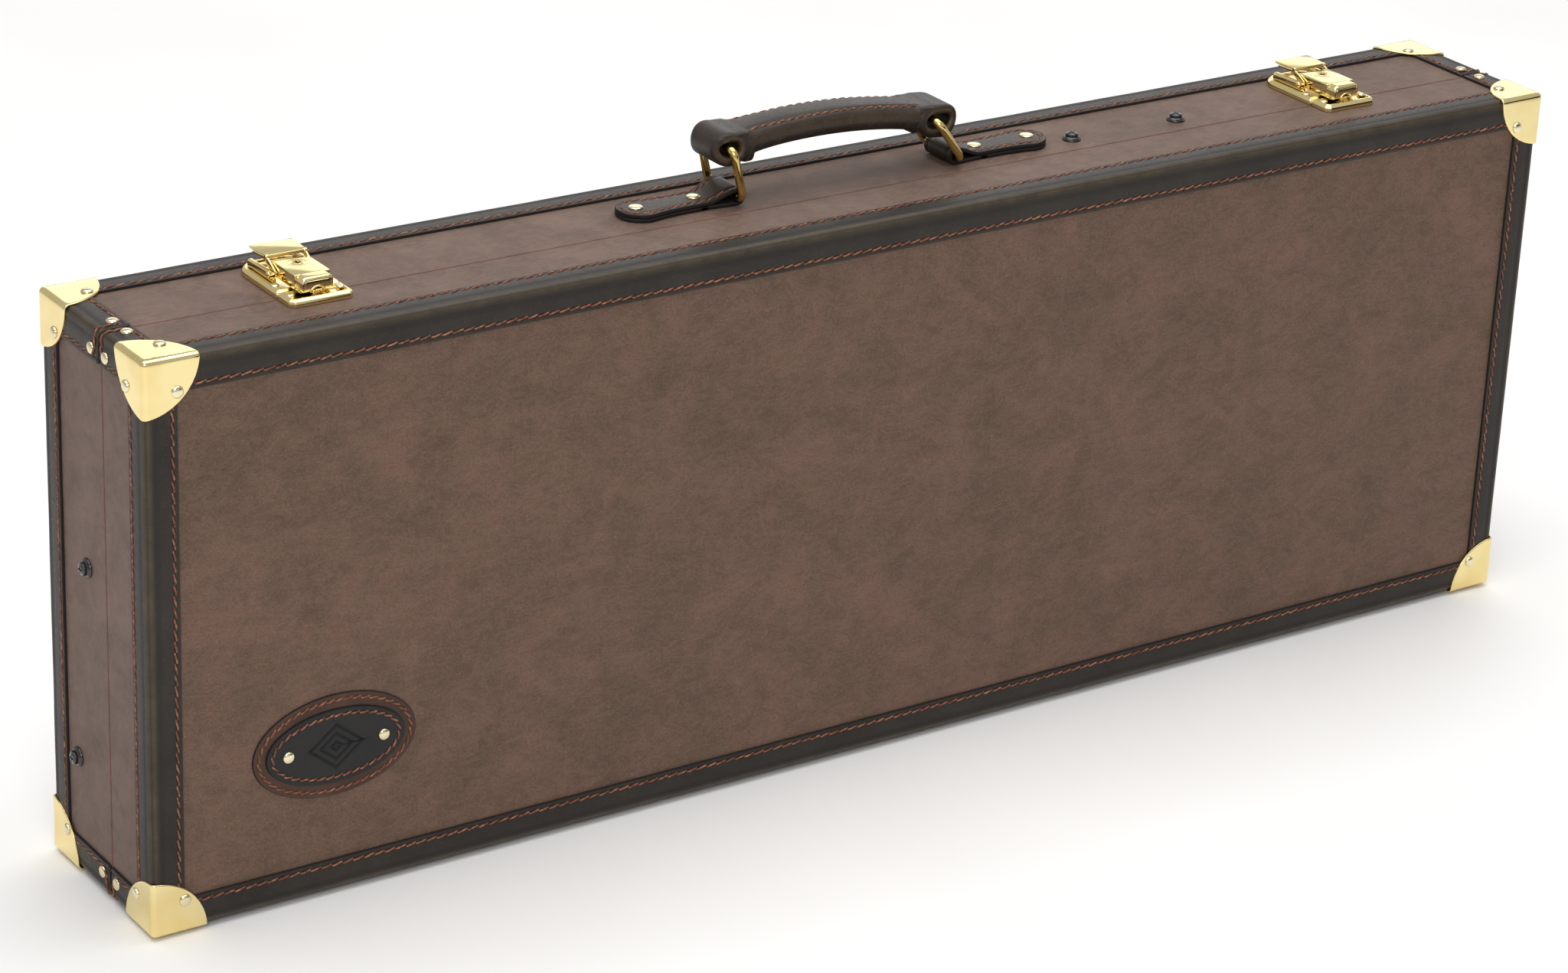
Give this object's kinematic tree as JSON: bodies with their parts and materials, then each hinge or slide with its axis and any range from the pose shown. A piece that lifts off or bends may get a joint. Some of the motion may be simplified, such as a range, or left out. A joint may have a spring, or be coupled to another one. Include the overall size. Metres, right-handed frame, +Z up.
{
  "type": "hard carrying case",
  "caption": "Long, shallow hard case covered in leather, with stitched edge bindings, brass corners, draw latches, a ring handle and a hinged lid over a divided base.",
  "frame": {"origin": "middle of the case in X and Y, on the plane that the foot rivets rest on", "axes": "+X along the length to the right, +Y from the lid to the back, +Z up from the hinge side to the handle side"},
  "size_m": [0.904, 0.1202, 0.3586],
  "materials": {
    "plywood": "smooth plywood",
    "cover_leather": "pebbled leather covering, satin",
    "binding_leather": "smooth dark leather, satin",
    "handle_leather": "oiled pull-up leather, satin",
    "badge_brown": "smooth brown leather",
    "badge_black": "smooth black leather",
    "brass": "polished pale brass",
    "ring_brass": "aged brass",
    "black_metal": "gloss black",
    "lining": "napped cloth",
    "divider_cloth": "cloth over a padded board",
    "thread": "waxed thread"
  },
  "bodies": {
    "base": {"base_back_panel": "plywood", "base_top_wall": "plywood", "base_bottom_wall": "plywood", "base_left_wall": "plywood", "base_right_wall": "plywood", "base_cover": "cover_leather", "base_face_bindings": "binding_leather", "base_end_bindings": "binding_leather", "base_corner_bottom_left": "brass", "base_corner_bottom_right": "brass", "base_corner_top_left": "brass", "base_corner_top_right": "brass", "base_rivets": "brass", "base_foot_rivets": "brass", "base_small_rivets": "brass", "base_lining": "lining", "long_divider": "divider_cloth", "low_divider": "divider_cloth", "cross_dividers": "divider_cloth", "divider_screws": "black_metal", "screw_washers": "black_metal", "base_hinge_leaves": "brass", "hinge_pins": "brass", "latch_left_plate": "brass", "latch_right_plate": "brass", "handle_left_anchor": "handle_leather", "handle_right_anchor": "handle_leather"},
    "lid": {"lid_front_panel": "plywood", "lid_top_wall": "plywood", "lid_bottom_wall": "plywood", "lid_left_wall": "plywood", "lid_right_wall": "plywood", "lid_cover": "cover_leather", "lid_face_bindings": "binding_leather", "lid_end_bindings": "binding_leather", "lid_corner_bottom_left": "brass", "lid_corner_bottom_right": "brass", "lid_corner_top_left": "brass", "lid_corner_top_right": "brass", "lid_rivets": "brass", "lid_foot_rivets": "brass", "lid_small_rivets": "brass", "lid_lining": "lining", "lid_hinge_leaves": "brass", "latch_left_strike": "brass", "latch_right_strike": "brass", "badge_backing": "badge_brown", "badge_face": "badge_black"},
    "latch_left_pin": {"latch_left_slide_pin": "brass"},
    "latch_left_lever": {"latch_left_lever": "brass"},
    "latch_left_draw": {"latch_left_draw": "brass"},
    "latch_left_lock": {"latch_left_lock_plug": "brass"},
    "latch_right_pin": {"latch_right_slide_pin": "brass"},
    "latch_right_lever": {"latch_right_lever": "brass"},
    "latch_right_draw": {"latch_right_draw": "brass"},
    "latch_right_lock": {"latch_right_lock_plug": "brass"},
    "handle_left_ring": {"handle_left_ring": "ring_brass"},
    "handle_right_ring": {"handle_right_ring": "ring_brass"},
    "handle_grip": {"handle_grip": "handle_leather", "handle_core": "plywood"}
  },
  "joints": [
    {"name": "lid_hinge", "type": "hinge", "parent": "base", "child": "lid", "pos_m": [0, -0.0085, 0.0023], "axis": [1, 0, 0], "range_deg": [0, 100]},
    {"name": "latch_left_slide", "type": "slide", "parent": "base", "child": "latch_left_pin", "axis": [0, -1, 0], "range_m": [0, 0.003]},
    {"name": "latch_left_lever_turn", "type": "hinge", "parent": "latch_left_pin", "child": "latch_left_lever", "pos_m": [-0.3335, 0.0081, 0.3204], "axis": [1, 0, 0], "range_deg": [0, 80]},
    {"name": "latch_left_draw_tilt", "type": "hinge", "parent": "latch_left_pin", "child": "latch_left_draw", "pos_m": [-0.3335, 0.0081, 0.3204], "axis": [-1, 0, 0], "range_deg": [0, 18]},
    {"name": "latch_left_lock_turn", "type": "hinge", "parent": "latch_left_draw", "child": "latch_left_lock", "pos_m": [-0.3335, 0.0039, 0.3258], "axis": [0, 0, 1], "range_deg": [0, 90]},
    {"name": "latch_right_slide", "type": "slide", "parent": "base", "child": "latch_right_pin", "axis": [0, -1, 0], "range_m": [0, 0.003]},
    {"name": "latch_right_lever_turn", "type": "hinge", "parent": "latch_right_pin", "child": "latch_right_lever", "pos_m": [0.3335, 0.0081, 0.3204], "axis": [1, 0, 0], "range_deg": [0, 80]},
    {"name": "latch_right_draw_tilt", "type": "hinge", "parent": "latch_right_pin", "child": "latch_right_draw", "pos_m": [0.3335, 0.0081, 0.3204], "axis": [-1, 0, 0], "range_deg": [0, 18]},
    {"name": "latch_right_lock_turn", "type": "hinge", "parent": "latch_right_draw", "child": "latch_right_lock", "pos_m": [0.3335, 0.0039, 0.3258], "axis": [0, 0, 1], "range_deg": [0, 90]},
    {"name": "handle_left_ring_lean", "type": "hinge", "parent": "base", "child": "handle_left_ring", "pos_m": [-0.0715, 0.0135, 0.3182], "axis": [0, 1, 0], "range_deg": [-20, 70]},
    {"name": "handle_right_ring_lean", "type": "hinge", "parent": "base", "child": "handle_right_ring", "pos_m": [0.0715, 0.0135, 0.3182], "axis": [0, 1, 0], "range_deg": [-20, 70]},
    {"name": "handle_grip_turn", "type": "hinge", "parent": "handle_left_ring", "child": "handle_grip", "pos_m": [-0.07852, 0.0135, 0.34634], "axis": [0, 1, 0], "range_deg": [-76, 22]}
  ],
  "couplings": [
    {"joint": "latch_left_slide", "follows": "latch_left_lever_turn", "m_per_rad": 0.0021128},
    {"joint": "latch_right_slide", "follows": "latch_right_lever_turn", "m_per_rad": 0.0021128},
    {"joint": "handle_right_ring_lean", "follows": "handle_left_ring_lean", "ratio": 1},
    {"joint": "handle_grip_turn", "follows": "handle_left_ring_lean", "ratio": -1.078}
  ]
}
